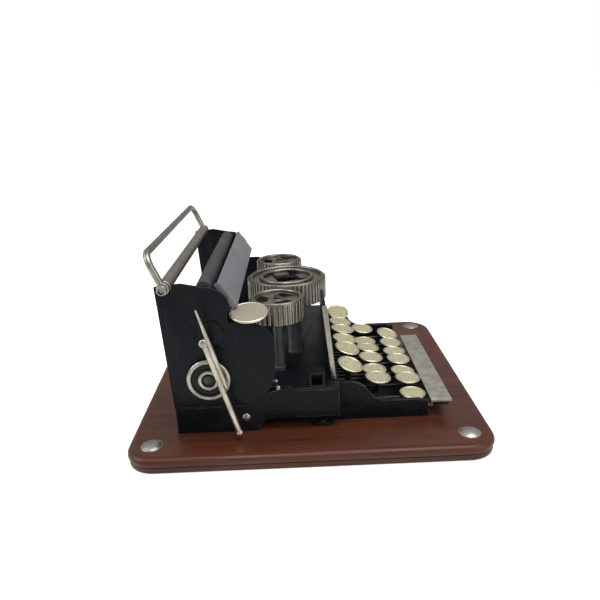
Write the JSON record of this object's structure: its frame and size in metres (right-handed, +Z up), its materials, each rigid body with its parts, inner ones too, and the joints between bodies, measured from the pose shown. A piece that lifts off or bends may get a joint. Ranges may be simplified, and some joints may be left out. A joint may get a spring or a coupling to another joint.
{
  "type": "typewriter",
  "caption": "Ornamental metal typewriter on a varnished wooden board, with pressing keys, a swinging paper bail, a roller, ribbon drums and a return lever.",
  "frame": {"origin": "centre of the board's underside", "axes": "+X to the operator's right, +Y away from the operator, the keyboard faces -Y, +Z up"},
  "size_m": [0.228, 0.24, 0.1382],
  "materials": {
    "varnished_wood": "red-brown mahogany under satin varnish",
    "black_enamel": "semi-gloss black enamel with rubbed edges",
    "nickel": "worn warm nickel plate",
    "warm_nickel": "tarnished nickel plate with a brown cast",
    "cream_enamel": "aged cream enamel, satin, with a pale rim",
    "grey_paint": "flat mid-grey paint",
    "roller_rubber": "matt dark grey rubber",
    "dark_steel": "dark grey-blue satin",
    "black_wood": "black stain"
  },
  "bodies": {
    "frame": {"base_board": "varnished_wood", "corner_studs": "nickel", "left_frame": "black_enamel", "right_frame": "black_enamel", "frame_screws": "nickel", "rear_panel": "black_enamel", "deck_plate": "black_enamel", "frame_bolts": "nickel", "frame_lug": "black_enamel", "tie_rod": "nickel", "key_tray": "black_enamel", "left_cheek": "black_enamel", "right_cheek": "black_enamel", "cheek_bolts": "nickel", "front_panel": "black_enamel", "panel_trim": "nickel", "rear_rod": "warm_nickel", "bail_nuts": "nickel", "carriage_brackets": "black_enamel", "paper_plate": "grey_paint", "type_ring": "nickel", "ring_core": "black_enamel", "ring_posts": "dark_steel", "spool_posts": "dark_steel", "side_key_guide": "black_enamel", "wheel_spindle": "dark_steel", "lever_bracket": "black_enamel", "lever_pin": "nickel", "fulcrum_rod": "nickel", "key_springs": "nickel"},
    "bail": {"bail": "nickel"},
    "platen": {"platen": "roller_rubber", "platen_shaft": "nickel"},
    "left_spool": {"left_spool": "nickel"},
    "right_spool": {"right_spool": "nickel"},
    "side_key": {"side_key": "cream_enamel"},
    "side_wheel": {"side_wheel": "nickel"},
    "return_lever": {"return_lever": "nickel"},
    "space_bar": {"space_bar": "nickel", "space_beam": "black_wood"},
    "key_c1": {"key_c1": "cream_enamel"},
    "key_a1": {"key_a1": "cream_enamel"},
    "key_b1": {"key_b1": "cream_enamel"},
    "key_c2": {"key_c2": "cream_enamel"},
    "key_a2": {"key_a2": "cream_enamel"},
    "key_b2": {"key_b2": "cream_enamel"},
    "key_c3": {"key_c3": "cream_enamel"},
    "key_a3": {"key_a3": "cream_enamel"},
    "key_b3": {"key_b3": "cream_enamel"},
    "key_c4": {"key_c4": "cream_enamel"},
    "key_a4": {"key_a4": "cream_enamel"},
    "key_b4": {"key_b4": "cream_enamel"},
    "key_c5": {"key_c5": "cream_enamel"},
    "key_a5": {"key_a5": "cream_enamel"},
    "key_b5": {"key_b5": "cream_enamel"},
    "key_c6": {"key_c6": "cream_enamel"},
    "key_a6": {"key_a6": "cream_enamel"},
    "key_b6": {"key_b6": "cream_enamel"},
    "key_c7": {"key_c7": "cream_enamel"}
  },
  "joints": [
    {"name": "bail_swing", "type": "hinge", "parent": "frame", "child": "bail", "pos_m": [0, 0.086, 0.115], "axis": [1, 0, 0], "range_deg": [-95, 85]},
    {"name": "platen_spin", "type": "hinge", "parent": "frame", "child": "platen", "pos_m": [0, 0.064, 0.11], "axis": [1, 0, 0], "continuous": true},
    {"name": "left_spool_spin", "type": "hinge", "parent": "frame", "child": "left_spool", "pos_m": [-0.052, 0.019, 0.088], "axis": [0, 0, 1], "continuous": true},
    {"name": "right_spool_spin", "type": "hinge", "parent": "frame", "child": "right_spool", "pos_m": [0.052, 0.019, 0.088], "axis": [0, 0, 1], "continuous": true},
    {"name": "side_key_press", "type": "slide", "parent": "frame", "child": "side_key", "axis": [0.2079, 0, -0.9781], "range_m": [0, 0.002], "stiffness_N_per_m": 60, "springref_m": -0.003},
    {"name": "side_wheel_spin", "type": "hinge", "parent": "frame", "child": "side_wheel", "pos_m": [-0.089, 0.064, 0.052], "axis": [1, 0, 0], "continuous": true},
    {"name": "return_lever_swing", "type": "hinge", "parent": "frame", "child": "return_lever", "pos_m": [-0.0948, 0.064, 0.08], "axis": [1, 0, 0], "range_deg": [-25, 0]},
    {"name": "space_bar_press", "type": "hinge", "parent": "frame", "child": "space_bar", "pos_m": [0, 0.026, 0.019], "axis": [1, 0, 0], "range_deg": [0, 1], "stiffness_Nm_per_rad": 0.3, "springref_deg": -14.32},
    {"name": "key_c1_press", "type": "hinge", "parent": "frame", "child": "key_c1", "pos_m": [0, 0.026, 0.019], "axis": [1, 0, 0], "range_deg": [0, 1.5], "stiffness_Nm_per_rad": 0.03, "springref_deg": -17.19},
    {"name": "key_a1_press", "type": "hinge", "parent": "frame", "child": "key_a1", "pos_m": [0, 0.026, 0.019], "axis": [1, 0, 0], "range_deg": [0, 1.5], "stiffness_Nm_per_rad": 0.03, "springref_deg": -17.19},
    {"name": "key_b1_press", "type": "hinge", "parent": "frame", "child": "key_b1", "pos_m": [0, 0.026, 0.019], "axis": [1, 0, 0], "range_deg": [0, 1.5], "stiffness_Nm_per_rad": 0.03, "springref_deg": -17.19},
    {"name": "key_c2_press", "type": "hinge", "parent": "frame", "child": "key_c2", "pos_m": [0, 0.026, 0.019], "axis": [1, 0, 0], "range_deg": [0, 1.5], "stiffness_Nm_per_rad": 0.03, "springref_deg": -17.19},
    {"name": "key_a2_press", "type": "hinge", "parent": "frame", "child": "key_a2", "pos_m": [0, 0.026, 0.019], "axis": [1, 0, 0], "range_deg": [0, 1.5], "stiffness_Nm_per_rad": 0.03, "springref_deg": -17.19},
    {"name": "key_b2_press", "type": "hinge", "parent": "frame", "child": "key_b2", "pos_m": [0, 0.026, 0.019], "axis": [1, 0, 0], "range_deg": [0, 1.5], "stiffness_Nm_per_rad": 0.03, "springref_deg": -17.19},
    {"name": "key_c3_press", "type": "hinge", "parent": "frame", "child": "key_c3", "pos_m": [0, 0.026, 0.019], "axis": [1, 0, 0], "range_deg": [0, 1.5], "stiffness_Nm_per_rad": 0.03, "springref_deg": -17.19},
    {"name": "key_a3_press", "type": "hinge", "parent": "frame", "child": "key_a3", "pos_m": [0, 0.026, 0.019], "axis": [1, 0, 0], "range_deg": [0, 1.5], "stiffness_Nm_per_rad": 0.03, "springref_deg": -17.19},
    {"name": "key_b3_press", "type": "hinge", "parent": "frame", "child": "key_b3", "pos_m": [0, 0.026, 0.019], "axis": [1, 0, 0], "range_deg": [0, 1.5], "stiffness_Nm_per_rad": 0.03, "springref_deg": -17.19},
    {"name": "key_c4_press", "type": "hinge", "parent": "frame", "child": "key_c4", "pos_m": [0, 0.026, 0.019], "axis": [1, 0, 0], "range_deg": [0, 1.5], "stiffness_Nm_per_rad": 0.03, "springref_deg": -17.19},
    {"name": "key_a4_press", "type": "hinge", "parent": "frame", "child": "key_a4", "pos_m": [0, 0.026, 0.019], "axis": [1, 0, 0], "range_deg": [0, 1.5], "stiffness_Nm_per_rad": 0.03, "springref_deg": -17.19},
    {"name": "key_b4_press", "type": "hinge", "parent": "frame", "child": "key_b4", "pos_m": [0, 0.026, 0.019], "axis": [1, 0, 0], "range_deg": [0, 1.5], "stiffness_Nm_per_rad": 0.03, "springref_deg": -17.19},
    {"name": "key_c5_press", "type": "hinge", "parent": "frame", "child": "key_c5", "pos_m": [0, 0.026, 0.019], "axis": [1, 0, 0], "range_deg": [0, 1.5], "stiffness_Nm_per_rad": 0.03, "springref_deg": -17.19},
    {"name": "key_a5_press", "type": "hinge", "parent": "frame", "child": "key_a5", "pos_m": [0, 0.026, 0.019], "axis": [1, 0, 0], "range_deg": [0, 1.5], "stiffness_Nm_per_rad": 0.03, "springref_deg": -17.19},
    {"name": "key_b5_press", "type": "hinge", "parent": "frame", "child": "key_b5", "pos_m": [0, 0.026, 0.019], "axis": [1, 0, 0], "range_deg": [0, 1.5], "stiffness_Nm_per_rad": 0.03, "springref_deg": -17.19},
    {"name": "key_c6_press", "type": "hinge", "parent": "frame", "child": "key_c6", "pos_m": [0, 0.026, 0.019], "axis": [1, 0, 0], "range_deg": [0, 1.5], "stiffness_Nm_per_rad": 0.03, "springref_deg": -17.19},
    {"name": "key_a6_press", "type": "hinge", "parent": "frame", "child": "key_a6", "pos_m": [0, 0.026, 0.019], "axis": [1, 0, 0], "range_deg": [0, 1.5], "stiffness_Nm_per_rad": 0.03, "springref_deg": -17.19},
    {"name": "key_b6_press", "type": "hinge", "parent": "frame", "child": "key_b6", "pos_m": [0, 0.026, 0.019], "axis": [1, 0, 0], "range_deg": [0, 1.5], "stiffness_Nm_per_rad": 0.03, "springref_deg": -17.19},
    {"name": "key_c7_press", "type": "hinge", "parent": "frame", "child": "key_c7", "pos_m": [0, 0.026, 0.019], "axis": [1, 0, 0], "range_deg": [0, 1.5], "stiffness_Nm_per_rad": 0.03, "springref_deg": -17.19}
  ]
}
